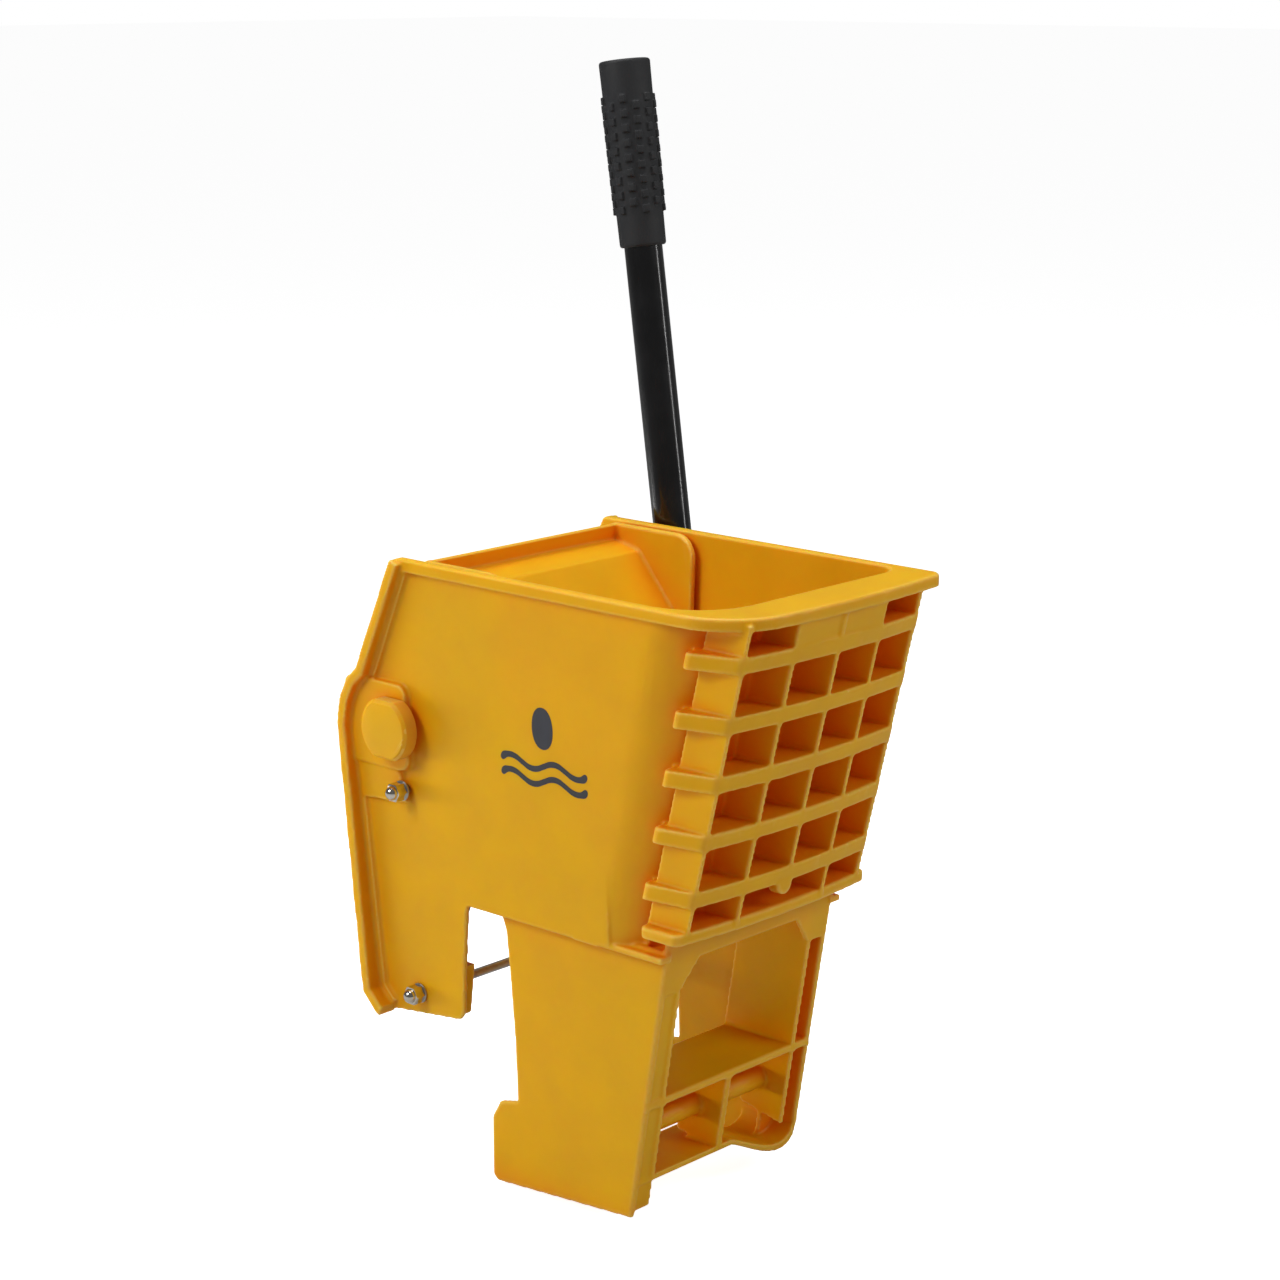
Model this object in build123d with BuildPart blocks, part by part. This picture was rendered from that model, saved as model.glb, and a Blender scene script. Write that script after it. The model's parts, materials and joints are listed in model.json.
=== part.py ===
from build123d import *
import math
import os

os.makedirs("parts", exist_ok=True)

# Side-press mop wringer. Millimetres, +Z up, +X to the right, the grille faces -Y.
# The origin is midway between the side walls, at the top of the slot that hangs on the bucket's end wall.

# Driving dimensions
wall = 3.5                  # moulded wall
flange_thickness = 7.0      # along the rear edge
pad_height = 4.5            # bearing pad on the side wall
bearing_pad = 57.0
bolt_pad_height = 3.0
sill_thickness = 5.0
side_taper = 0.04           # each side wall moves in by this much for each unit down
seat_half = 86.0            # outer half width of the side walls at the seat
rim_z = 221.0
rim_height = 8.0
rim_half = 99.0
front_y = -218.0            # front edge of the rim
front_lean = 13.7           # the grille leans back by this many degrees
corner_radius = 44.0        # front corner on the left; the one on the right is tighter
right_corner_radius = 20.0
rim_right_radius = 10.0
bow = 6.0                   # the grille's middle stands this far in front of its ends

pocket_depth = 24.0         # from the grille's front plane to the basket's front wall
row_pitch = 37.0
band_height = 10.5
first_band_z = rim_z - 28.5
band_count = 5
band_reach = 37.0           # the bands turn the corner and end this far behind the front plane
lip_reach = 30.0
band_proud = 1.0            # how far the bands' ends stand out from the side walls
rib_spacing = 40.0
rib_thickness = 3.0
lip_z = 15.5
lip_height = 7.5
lip_half = 90.0
boss_x = -4.0
boss_z = 38.0
boss_radius = 6.5

leg_half = 79.0             # outer half width of the front leg
leg_wall = 4.0
leg_front_top = (-151.0, 6.0)
leg_front_bottom = (-121.0, -174.0)
window_half = 60.5
window_chamfer = 14.0
sill_z = -96.0
toe_z = -153.0
toe_depth = 44.0
toe_rise = 7.0              # the feet of the leg's frame slope up by this much towards the back
foot_depth = 34.0
scoop_start = 14.0          # the toe plate dips into a scoop from here to the right wall
frame_depth = 58.0
frame_top = 6.0
groove_depth = {-1: 3.0, 1: 18.0}
cross_tube = (24.0, -125.0, 7.5)    # behind the leg's front plane, height, radius

shaft_y, shaft_z = 67.0, 110.0
shaft_radius = 8.0
bearing_bolt = (65.0, 68.0)
tie_rod_spot = (61.0, -70.0)
screw_radius = 3.0
pin_radius = 2.5            # cross pins of the drive sectors, and the spring pins

gear_module = 4.0
pressure_angle = math.radians(20)
drive_teeth = 30
plate_teeth = 74
sector_teeth = 9            # teeth cut on each sector
tooth_backlash = 0.5
gear_x = 58.0               # middle of the toothed sectors
gear_width = 6.0
hinge_z = 21.0
hinge_rod_radius = 4.0
rod_half = 72.5             # half length of the hinge rod

handle_x = 120.0
handle_lean = 8.1
tube_radius = 12.7
tube_wall = 1.6
running_gap = 0.08
bush_radius = 12.0
lug_inner = 66.0            # lugs for the hinge rod, between these half widths
lug_outer = 74.0
lug_radius = 11.0

# Worked out from them
centre_distance = gear_module * (drive_teeth + plate_teeth) / 2
hinge_y = shaft_y - math.sqrt(centre_distance**2 - (shaft_z - hinge_z) ** 2)
shaft = (shaft_y, shaft_z)
hinge = (hinge_y, hinge_z)
tooth_depth = 1.25 * gear_module
mesh_angle = math.degrees(math.atan2(shaft_z - hinge_z, shaft_y - hinge_y))
lean_slope = math.tan(math.radians(front_lean))
lean_up = Vector(0, -math.sin(math.radians(front_lean)), math.cos(math.radians(front_lean)))
leg_slope = (leg_front_bottom[0] - leg_front_top[0]) / (leg_front_top[1] - leg_front_bottom[1])
lean_rad = math.radians(handle_lean)
tube_foot = Vector(handle_x, 24.5 - (rim_z - 100.0) * math.tan(lean_rad), 95.0)
tube_up = Vector(0, math.sin(lean_rad), math.cos(lean_rad))
tube_plane = Plane(origin=tube_foot, x_dir=(1, 0, 0), z_dir=tube_up)


def grille_y(z):
    """Front plane of the grille at height z."""
    return front_y + lean_slope * (rim_z - z)


def leg_y(z):
    """Front plane of the leg at height z."""
    return leg_front_top[0] + leg_slope * (leg_front_top[1] - z)


def side_plane(half_at_seat):
    """Tapered plane of the right side wall: local x is Y, local y is close to Z."""
    return Plane(origin=(half_at_seat, 0, 0), x_dir=(0, 1, 0), z_dir=(1, 0, -side_taper))


def yz_plane(x):
    return Plane(origin=(x, 0, 0), x_dir=(0, 1, 0), z_dir=(1, 0, 0))


def round_bar(centre, radius, start, end, mode=Mode.ADD):
    """Round bar along X, or a bore where the mode subtracts it."""
    with BuildSketch(yz_plane(start)) as section:
        with Locations(centre):
            Circle(radius)
    extrude(section.sketch, amount=end - start, mode=mode)


def finish(part, name):
    part.label = name
    export_step(part, f"parts/{name}.step")


def bowed_front(half, front, back):
    """Outline seen from above: straight sides and back, and a front that bows forward."""
    ThreePointArc((-half, front), (0, front - bow), (half, front))
    Polyline((half, front), (half, back), (-half, back), (-half, front))


def basket_section(z, inset, back_y):
    """One level of the basket: a rectangle with two large corners at the front."""
    half = seat_half + side_taper * z - inset
    front = grille_y(z) + pocket_depth + inset
    with BuildSketch(Plane.XY.offset(z)) as section:
        with Locations((0, (front + back_y) / 2)):
            Rectangle(2 * half, back_y - front)
        fillet(section.vertices().group_by(Axis.Y)[0].sort_by(Axis.X)[0], corner_radius - inset)
        fillet(section.vertices().group_by(Axis.Y)[0].sort_by(Axis.X)[-1], right_corner_radius - inset)
    return section.sketch


# Housing: basket, grille, side walls, slot and legs in one moulding
def basket_block(inset, bottom, top, back_y):
    with BuildPart() as block:
        add(basket_section(bottom, inset, back_y))
        add(basket_section(top, inset, back_y))
        loft()
    return block.part


basket_inside = basket_block(wall, lip_z - 12, rim_z + 1, 120)

rear_edge = [(61, rim_z), (97, 145), (106, 137), (113, 124), (117, 106), (103, -76), (91, -88)]
leg_sole = [(25, -80)]
slot_rear = [(21, -75), (18.5, -42), (14, 0)]
slot_front = [(-14, -11), (-17, -38), (-21, -82), (-23, -124)]
heel = [(-7, -128), (0, -140), (0, -180), (-4, -183.5)]

with BuildPart() as half_housing:
    # side wall, from the rim down to the rear leg
    with BuildSketch(side_plane(seat_half)):
        with BuildLine():
            Polyline((-110, 2), (-110, rim_z), *rear_edge, *leg_sole, *slot_rear, close=True)
        make_face()
    extrude(amount=-wall)
    # flange that stiffens the rear edge
    with BuildSketch(yz_plane(seat_half - wall)):
        with BuildLine():
            Polyline(*rear_edge, (88, -89.5))
            offset(amount=flange_thickness, side=Side.RIGHT, kind=Kind.INTERSECTION)
        make_face()
    extrude(amount=30)
    # thicker root where the flange meets the wall
    with BuildSketch(side_plane(seat_half - 1)):
        with BuildLine():
            Polyline(*rear_edge)
            offset(amount=flange_thickness + 4, side=Side.RIGHT, kind=Kind.INTERSECTION)
        make_face()
    extrude(amount=4)
    # bearing pad and bolt pad on the wall
    with BuildSketch(side_plane(seat_half)):
        with Locations((shaft_y + bearing_pad / 3, shaft_z)):
            RectangleRounded(bearing_pad, bearing_pad, 8)
    extrude(amount=pad_height)
    with BuildSketch(side_plane(seat_half)):
        with BuildLine():
            Polyline((shaft_y + 1, 82), (shaft_y - 5, 60), (shaft_y + 43, 56), (shaft_y + 47, 86), close=True)
        make_face()
    extrude(amount=bolt_pad_height)
    # ledge under the basket and its short wall above the front leg
    with BuildSketch(Plane.XY.offset(0)):
        with Locations(((leg_half + seat_half) / 2 - 2, -69)):
            Rectangle(seat_half - leg_half + 2.5, 166)
    extrude(amount=4)
    # floor in front of the hinge
    with BuildSketch(Plane.XY.offset(0)):
        with Locations((seat_half / 2 - 1, -119)):
            Rectangle(seat_half - 1, 56)
    extrude(amount=wall)
    # front leg wall, with the heel
    with BuildSketch(yz_plane(leg_half - leg_wall)):
        with BuildLine():
            Polyline(
                leg_front_top, leg_front_bottom, *reversed(heel), *reversed(slot_front), (-8, 3), close=True
            )
        make_face()
    extrude(amount=leg_wall)
    # thick lug at the foot of the rear leg
    with BuildSketch(yz_plane(seat_half - wall - 12)):
        with BuildLine():
            Polyline((26, -78), (22, -44), (30, -44), (34, -79), close=True)
        make_face()
    extrude(amount=11)
    split(bisect_by=Plane(origin=(rim_half + 5, 0, rim_z), z_dir=(1, 0, -0.025)), keep=Keep.BOTTOM)
    split(bisect_by=Plane.XY.offset(rim_z), keep=Keep.BOTTOM)

with BuildPart() as housing:
    add(half_housing.part)
    mirror(about=Plane.YZ)
    # basket shell
    add(basket_block(0, 0, rim_z, -80))
    # rim, open at the back
    with BuildSketch(Plane.XY.offset(rim_z - rim_height)) as rim_outline:
        with BuildLine():
            bowed_front(rim_half, front_y, 61)
        make_face()
        fillet(rim_outline.vertices().group_by(Axis.Y)[0].sort_by(Axis.X)[0], corner_radius)
        fillet(rim_outline.vertices().sort_by(Axis.X)[-2:].sort_by(Axis.Y)[0], rim_right_radius)
    extrude(amount=rim_height)
    # horizontal bands of the grille
    for band in range(band_count):
        band_bottom = first_band_z - band * row_pitch - band_height / 2
        front = grille_y(band_bottom)
        back_half = seat_half + side_taper * band_bottom + band_proud
        with BuildSketch(Plane.XY.offset(band_bottom)) as band_outline:
            with BuildLine():
                ThreePointArc((-83, front), (0, front - bow), (83, front))
                Polyline(
                    (83, front),
                    (back_half, front + band_reach),
                    (-back_half, front + band_reach),
                    (-83, front),
                )
            make_face()
            fillet(band_outline.vertices(), 4.5)
        extrude(amount=band_height / lean_up.Z, dir=lean_up)
    # lip along the bottom of the grille
    with BuildSketch(Plane.XY.offset(lip_z)) as lip_outline:
        with BuildLine():
            bowed_front(lip_half, grille_y(lip_z), grille_y(lip_z) + lip_reach)
        make_face()
        fillet(lip_outline.vertices(), 5)
    extrude(amount=lip_height)
    # vertical ribs
    for column in range(-2, 3):
        low = lip_z if column else first_band_z - 4 * row_pitch
        ahead = bow * (1 - (column / 2) ** 2)
        with BuildSketch(yz_plane(column * rib_spacing - rib_thickness / 2)):
            with BuildLine():
                Polyline(
                    (grille_y(low) - ahead, low),
                    (grille_y(rim_z - 4) - ahead, rim_z - 4),
                    (grille_y(rim_z - 4) + pocket_depth + 8, rim_z - 4),
                    (grille_y(low) + pocket_depth + 8, low),
                    close=True,
                )
            make_face()
        extrude(amount=rib_thickness)
    # small boss that hangs under the lowest band
    with BuildSketch(Plane(origin=(boss_x, grille_y(boss_z) + 2, boss_z), x_dir=(1, 0, 0), z_dir=(0, -1, 0))):
        Circle(boss_radius)
    extrude(amount=bow + 3)
    # closed plate over the two middle cells of the top row
    with BuildSketch(Plane.XY.offset(first_band_z)):
        with Locations((0, grille_y(first_band_z) - bow / 2 + 2)):
            Rectangle(2 * rib_spacing, 4 + bow / 2)
    extrude(amount=rim_z - 4 - first_band_z, dir=lean_up)
    # front leg: outer frame, sill and ribs between the two walls
    for side in (-1, 1):
        with BuildSketch(yz_plane(side * (window_half + wall / 2) - wall / 2)):
            with BuildLine():
                Polyline(
                    (leg_y(frame_top), frame_top),
                    (leg_y(toe_z), toe_z),
                    (leg_y(toe_z) + foot_depth, toe_z + toe_rise),
                    (leg_y(sill_z) + frame_depth, sill_z),
                    (leg_y(frame_top) + frame_depth, frame_top),
                    close=True,
                )
            make_face()
        extrude(amount=wall)
        # web that closes the groove between the frame and the leg wall
        with BuildSketch(Plane.XY.offset(frame_top)):
            with Locations((side * (window_half + leg_half) / 2, leg_y(frame_top) + groove_depth[side])):
                Rectangle(leg_half - window_half, wall)
        extrude(amount=-180, dir=Vector(0, -leg_slope, 1).normalized())
    with BuildSketch(Plane.XY.offset(sill_z - sill_thickness)):
        with Locations((0, leg_y(sill_z) + frame_depth / 2)):
            Rectangle(2 * leg_half - 2, frame_depth)
    extrude(amount=sill_thickness)
    # middle rib, cross tube and toe plate under the sill
    with BuildSketch(yz_plane(-sill_thickness / 2)):
        with BuildLine():
            Polyline(
                (leg_y(sill_z), sill_z - 1),
                (leg_y(toe_z), toe_z),
                (leg_y(toe_z) + foot_depth, toe_z + toe_rise),
                (leg_y(sill_z) + foot_depth, sill_z - 1),
                close=True,
            )
        make_face()
    extrude(amount=sill_thickness)
    with BuildSketch(yz_plane(-leg_half + 1)):
        with Locations((leg_y(cross_tube[1]) + cross_tube[0], cross_tube[1])):
            Circle(cross_tube[2])
    extrude(amount=2 * leg_half - 2)
    with BuildSketch(Plane.XY.offset(toe_z)):
        with Locations(((scoop_start - leg_half) / 2, leg_y(toe_z) + toe_depth / 2)):
            Rectangle(scoop_start + leg_half - 2, toe_depth)
    extrude(amount=wall)
    # the toe plate dips into a scoop beside the right wall
    with BuildSketch(Plane(origin=(0, leg_y(toe_z) + toe_depth, toe_z), x_dir=(1, 0, 0), z_dir=(0, -1, 0))):
        with BuildLine():
            Spline((scoop_start - 2, 0), (46, -15), (67, -17), (leg_half - 1, -5))
            Polyline((leg_half - 1, -5), (leg_half - 1, 2))
            Spline((leg_half - 1, 2), (65, -12.5), (46, -10.5), (scoop_start - 2, wall))
            Polyline((scoop_start - 2, wall), (scoop_start - 2, 0))
        make_face()
    extrude(amount=toe_depth)
    # rounded lower front corner of the right wall
    with BuildSketch(yz_plane(leg_half - leg_wall - 1)):
        with BuildLine():
            Polyline(
                (-135, -185), (-135, -157), (-124, -157), (-121, -168), (-113, -173), (-113, -185), close=True
            )
        make_face()
    extrude(amount=leg_wall + 2, mode=Mode.SUBTRACT)
    # chamfered top corners of the window
    leg_front = Plane(origin=(0, leg_y(frame_top), frame_top), x_dir=(1, 0, 0), z_dir=(0, -1, -leg_slope))
    with BuildSketch(leg_front):
        with BuildLine():
            Polyline(
                (-leg_half + 1, 6),
                (leg_half - 1, 6),
                (leg_half - 1, -30),
                (window_half, -30),
                (window_half - window_chamfer, -11),
                (window_chamfer - window_half, -11),
                (-window_half, -30),
                (-leg_half + 1, -30),
                close=True,
            )
        make_face()
    extrude(amount=-wall)
    # hollow of the basket, and its rim opening
    add(basket_inside, mode=Mode.SUBTRACT)
    # lugs on the floor that hold the hinge rod
    for side in (-1, 1):
        with BuildSketch(yz_plane(side * lug_inner)):
            with Locations(hinge):
                Circle(lug_radius)
            with Locations((hinge_y, hinge_z / 2)):
                Rectangle(2 * lug_radius, hinge_z - 1)
        extrude(amount=side * (lug_outer - lug_inner))
    # bores for the shaft bushes, the bearing bolts, the tie rod and the hinge rod
    for spot, radius, reach in (
        (shaft, bush_radius, rim_half),
        (bearing_bolt, screw_radius, rim_half),
        (tie_rod_spot, screw_radius, rim_half),
        (hinge, hinge_rod_radius, rod_half),
    ):
        with BuildSketch(yz_plane(-reach)):
            with Locations(spot):
                Circle(radius)
        extrude(amount=2 * reach, mode=Mode.SUBTRACT)
    # drain slots in the floor
    with BuildSketch(Plane.XY):
        with GridLocations(16, 0, 7, 1):
            with Locations((0, -118)):
                SlotOverall(22, 5, rotation=90)
    extrude(amount=4, mode=Mode.SUBTRACT)
finish(housing.part, "housing")


# Press plate: sloping face, ledge, upstand, cheeks and toothed sectors
face_top = (23.0, 201.0)
face_foot = (-131.0, 28.0)
face_angle = math.degrees(math.atan2(face_top[1] - face_foot[1], face_top[0] - face_foot[0]))
cheek_outer = seat_half - wall - 3.0
cheek_wall = 4.5
knuckle_radius = 9.0
knuckle_ends = (20.0, 64.0)
plate_bush_radius = 6.0
spring_pin = (0.0, 83.0)
spring_x = 69.0
plate_step = 360 / plate_teeth
drive_step = 360 / drive_teeth


def gear_tooth(teeth, backlash):
    """Outline of one involute tooth that points along +X from the gear's centre."""
    pitch = gear_module * teeth / 2
    base = pitch * math.cos(pressure_angle)
    root = pitch - tooth_depth
    tip = pitch + gear_module
    lowest = max(base, root)
    flank = [(root - 2, math.pi / (2 * teeth) + 0.01)]
    for step in range(5):
        radius = lowest + (tip - lowest) * step / 4
        pressure = math.acos(min(1, base / radius))
        closing = math.tan(pressure) - pressure - (math.tan(pressure_angle) - pressure_angle)
        flank.append((radius, math.pi / (2 * teeth) - closing - backlash / (2 * pitch)))
    right = [(radius * math.cos(angle), -radius * math.sin(angle)) for radius, angle in flank]
    left = [(x, -y) for x, y in reversed(right)]
    return right + left


def toothed_sector(x, teeth, centre, first_tooth, tooth_count, body_start, body_end):
    """Gear sector: teeth counted upwards from first_tooth, on a web from body_start to body_end."""
    root = gear_module * teeth / 2 - tooth_depth

    def rim_point(angle):
        turn = math.radians(angle)
        return (centre[0] + root * math.cos(turn), centre[1] + root * math.sin(turn))

    with BuildSketch(yz_plane(x)) as sector:
        with BuildLine():
            ThreePointArc(rim_point(body_start), rim_point((body_start + body_end) / 2), rim_point(body_end))
            Polyline(rim_point(body_end), centre, rim_point(body_start))
        make_face()
        with Locations(centre):
            with PolarLocations(0, tooth_count, first_tooth, (tooth_count - 1) * 360 / teeth, endpoint=True):
                Polygon(*gear_tooth(teeth, tooth_backlash), align=None)
    extrude(sector.sketch, amount=gear_width)


with BuildPart() as cheek:
    with BuildSketch(side_plane(cheek_outer)) as cheek_outline:
        with BuildLine():
            Polyline(
                (46, 220), (-26, 220), (-26, 146), (face_foot[0] + 30, face_foot[1] + 34),
                (face_foot[0] + 46, face_foot[1] + 24), (14, 130), (46, 165), close=True,
            )
        make_face()
        fillet(cheek_outline.vertices().sort_by(Axis.Y)[-2:].sort_by(Axis.X)[0], 16)
    extrude(amount=-cheek_wall)

with BuildPart() as press_plate:
    # face, ledge and upstand, one bent wall
    with BuildSketch(yz_plane(-95)):
        with BuildLine():
            Polyline((45, 220), (47.5, 206.5), face_top, face_foot, (hinge_y - 6, hinge_z - 2))
            offset(amount=wall, side=Side.RIGHT, kind=Kind.INTERSECTION)
        make_face()
    extrude(amount=190)
    # ribs behind the face
    for rib_x in (-36, -12, 12, 36):
        with BuildSketch(yz_plane(rib_x - 1.5)):
            with BuildLine():
                Polyline((47, 205), face_top, face_foot, (hinge_y, hinge_z + 2), (40, 183), close=True)
            make_face()
        extrude(amount=3)
    # narrow the foot, where the basket's corners close in
    with BuildSketch(Plane.XY.offset(10)):
        with BuildLine():
            Polyline(
                (59, -145),
                (95, -145),
                (95, -90),
                (79, -90),
                (64.5, -116),
                (64.5, -129),
                (59, -130.5),
                close=True,
            )
        make_face()
        mirror(about=Plane.YZ)
    extrude(amount=70, mode=Mode.SUBTRACT)
    # both ends follow the taper of the housing's walls
    split(bisect_by=Plane(origin=(cheek_outer - 1, 0, 0), z_dir=(1, 0, -side_taper)), keep=Keep.BOTTOM)
    split(bisect_by=Plane(origin=(1 - cheek_outer, 0, 0), z_dir=(-1, 0, -side_taper)), keep=Keep.BOTTOM)
    add(cheek.part)
    add(cheek.part.mirror(Plane.YZ))
    for side in (-1, 1):
        # hinge knuckles
        with BuildSketch(yz_plane(side * knuckle_ends[0])):
            with Locations(hinge):
                Circle(knuckle_radius)
            with Locations(Location((hinge_y - 2, hinge_z + 5), face_angle)):
                Rectangle(18, 12)
        extrude(amount=side * (knuckle_ends[1] - knuckle_ends[0]))
        # toothed sector with its web
        toothed_sector(side * gear_x - gear_width / 2, plate_teeth, hinge, mesh_angle - 6.5 * plate_step,
                       sector_teeth, mesh_angle - 7 * plate_step, face_angle - 2)
        # pin for the return spring
        with BuildSketch(yz_plane(side * (gear_x + 1))):
            with Locations(spring_pin):
                Circle(pin_radius)
        extrude(amount=side * 14)
    # bore for the bushes, and a window in each sector's web
    with BuildSketch(yz_plane(-70)):
        with Locations(hinge):
            Circle(plate_bush_radius)
        with Locations(Location((hinge_y + 86, hinge_z + 38), 24)):
            SlotOverall(80, 44)
    extrude(amount=140, mode=Mode.SUBTRACT)
finish(press_plate.part, "press_plate")

# Hinge of the press plate
with BuildPart() as plate_bushes:
    for side in (-1, 1):
        with BuildSketch(yz_plane(side * knuckle_ends[0])):
            with Locations(hinge):
                Circle(plate_bush_radius)
                Circle(hinge_rod_radius + running_gap, mode=Mode.SUBTRACT)
        extrude(amount=side * (knuckle_ends[1] - knuckle_ends[0]))
finish(plate_bushes.part, "plate_bushes")

with BuildPart() as hinge_rod:
    with BuildSketch(yz_plane(-rod_half)):
        with Locations(hinge):
            Circle(hinge_rod_radius)
    extrude(amount=2 * rod_half)
    chamfer(hinge_rod.faces().filter_by(Axis.X).edges(), 0.6)
finish(hinge_rod.part, "hinge_rod")


# Drive shaft and what turns with it
cap_inner = -96.3
cap_outer = -107.0
cap_radius = 21.0
cap_height = 38.0
hub_inner = 97.0
hub_outer = 132.0
hub_radius = 20.0
sector_hub_radius = 17.0
sector_hub_half = 12.0
pin_x = gear_x - 8          # cross pins, through the inner half of each sector's hub
pin_half = 18.0

with BuildPart() as drive_shaft:
    round_bar(shaft, shaft_radius, cap_outer + 3, hub_outer - 2)
    with BuildSketch(Plane.XY.offset(shaft_z)):
        with Locations((pin_x, shaft_y), (-pin_x, shaft_y)):
            Circle(pin_radius)
    extrude(amount=pin_half + 2, both=True, mode=Mode.SUBTRACT)
    chamfer(drive_shaft.faces().filter_by(Axis.X).edges(), 0.8)
finish(drive_shaft.part, "drive_shaft")

for side, side_name in ((-1, "left"), (1, "right")):
    with BuildPart() as drive_sector:
        toothed_sector(side * gear_x - gear_width / 2, drive_teeth, shaft, mesh_angle + 180 - drive_step,
                       sector_teeth, mesh_angle + 180 - 1.5 * drive_step, mesh_angle + 180 + 7.5 * drive_step)
        with BuildSketch(yz_plane(side * (gear_x - sector_hub_half))):
            with Locations(shaft):
                Circle(sector_hub_radius)
        extrude(amount=side * 2 * sector_hub_half)
        with BuildSketch(yz_plane(side * (gear_x - sector_hub_half - 2))):
            with Locations(shaft):
                Circle(shaft_radius)
        extrude(amount=side * 2 * (sector_hub_half + 2), mode=Mode.SUBTRACT)
        with BuildSketch(Plane.XY.offset(shaft_z)):
            with Locations((side * pin_x, shaft_y)):
                Circle(pin_radius)
        extrude(amount=pin_half + 2, both=True, mode=Mode.SUBTRACT)
    finish(drive_sector.part, f"drive_sector_{side_name}")

with BuildPart() as sector_pins:
    with BuildSketch(Plane.XY.offset(shaft_z - pin_half)):
        with Locations((pin_x, shaft_y), (-pin_x, shaft_y)):
            Circle(pin_radius)
    extrude(amount=2 * pin_half)
finish(sector_pins.part, "sector_pins")

with BuildPart() as end_cap:
    with BuildSketch(yz_plane(cap_outer)) as cap_outline:
        with Locations(shaft):
            Circle(cap_radius)
            Rectangle(3 * cap_radius, cap_height, mode=Mode.INTERSECT)
        fillet(cap_outline.vertices(), 5)
    extrude(amount=cap_inner - cap_outer)
    chamfer(end_cap.faces().filter_by(Axis.X).sort_by(Axis.X)[0].edges(), 2)
    with BuildSketch(yz_plane(cap_inner)):
        with Locations(shaft):
            Circle(shaft_radius)
    extrude(amount=cap_outer + 3 - cap_inner, mode=Mode.SUBTRACT)
finish(end_cap.part, "shaft_end_cap")

with BuildPart() as shaft_bushes:
    for side in (-1, 1):
        for radius, start, end in ((17, 82.5, 85.9), (bush_radius, 85, 94.6)):
            with BuildSketch(yz_plane(side * start)):
                with Locations(shaft):
                    Circle(radius)
            extrude(amount=side * (end - start))
        with BuildSketch(yz_plane(side * 80)):
            with Locations(shaft):
                Circle(shaft_radius + running_gap)
        extrude(amount=side * 20, mode=Mode.SUBTRACT)
finish(shaft_bushes.part, "shaft_bushes")

# Handle: socket, tube, grip and cross bolts
handle_top = 521.0
sleeve_radius = 15.4
sleeve_length = 96.0
bolt_heights = (68, 86)
hex_radius = 5.5            # handle's bolt heads and nuts, middle to corner
lock_nut_height = 5.0
grip_length = 122.0
grip_end_wall = 4.0
grip_radii = (15.4, 17.0)   # at its foot and at its end
stud_rows = 8
stud_pitch = 9.6
stud_count = 6
tube_length = (handle_top - tube_foot.Z) / math.cos(lean_rad) - grip_end_wall
grip_start = tube_length + grip_end_wall - grip_length
arm_inner = 107.5

with BuildPart() as handle_socket:
    with BuildSketch(yz_plane(hub_inner)):
        with Locations(shaft):
            Circle(hub_radius)
    extrude(amount=hub_outer - hub_inner)
    with BuildSketch(yz_plane(arm_inner)) as arm_outline:
        with BuildLine():
            Polyline((67, 129), (72, 91), (22, 96), (8, 100), (16, 152), close=True)
        make_face()
        fillet(arm_outline.vertices().filter_by_position(Axis.X, 10, 30), 4)
    extrude(amount=hub_outer - 8 - arm_inner)
    with BuildSketch(tube_plane.offset(-4)):
        Circle(sleeve_radius)
    extrude(amount=sleeve_length + 4)
    fillet(handle_socket.edges().filter_by(GeomType.CIRCLE).sort_by(Axis.Z)[-1], 1.2)
    with BuildSketch(tube_plane):
        Circle(tube_radius)
    extrude(amount=sleeve_length + 10, mode=Mode.SUBTRACT)
    with BuildSketch(yz_plane(hub_inner - 1)):
        with Locations(shaft):
            Circle(shaft_radius)
    extrude(amount=hub_outer - 2 - hub_inner + 1, mode=Mode.SUBTRACT)
    with BuildSketch(Plane(origin=tube_foot, x_dir=(1, 0, 0), z_dir=tube_plane.y_dir)):
        with Locations([(0, -height) for height in bolt_heights]):
            Circle(screw_radius)
    extrude(amount=30, both=True, mode=Mode.SUBTRACT)
finish(handle_socket.part, "handle_socket")

with BuildPart() as handle_tube:
    with BuildSketch(tube_plane.offset(0.5)):
        Circle(tube_radius)
        Circle(tube_radius - tube_wall, mode=Mode.SUBTRACT)
    extrude(amount=tube_length - 0.5)
    with BuildSketch(Plane(origin=tube_foot, x_dir=(1, 0, 0), z_dir=tube_plane.y_dir)):
        with Locations([(0, -height) for height in bolt_heights]):
            Circle(screw_radius)
    extrude(amount=30, both=True, mode=Mode.SUBTRACT)
finish(handle_tube.part, "handle_tube")

with BuildPart() as handle_grip:
    with BuildSketch(tube_plane.offset(grip_start)):
        Circle(grip_radii[0])
    with BuildSketch(tube_plane.offset(grip_start + grip_length)):
        Circle(grip_radii[1])
    loft()
    fillet(handle_grip.edges().filter_by(GeomType.CIRCLE), 2)
    # two staggered rings of studs round the middle of the grip
    for row in range(stud_rows):
        for half in (0, 1):
            rise = 22 + (row + half / 2) * stud_pitch
            with BuildSketch(tube_plane.offset(grip_start + rise)):
                with PolarLocations(grip_radii[0] + 0.5 + 0.010 * rise, stud_count, 180 / stud_count * half):
                    Rectangle(3, 4.2)
            extrude(amount=5)
    with BuildSketch(tube_plane.offset(grip_start - 1)):
        Circle(tube_radius)
    extrude(amount=tube_length - grip_start + 1, mode=Mode.SUBTRACT)
finish(handle_grip.part, "handle_grip")

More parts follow.
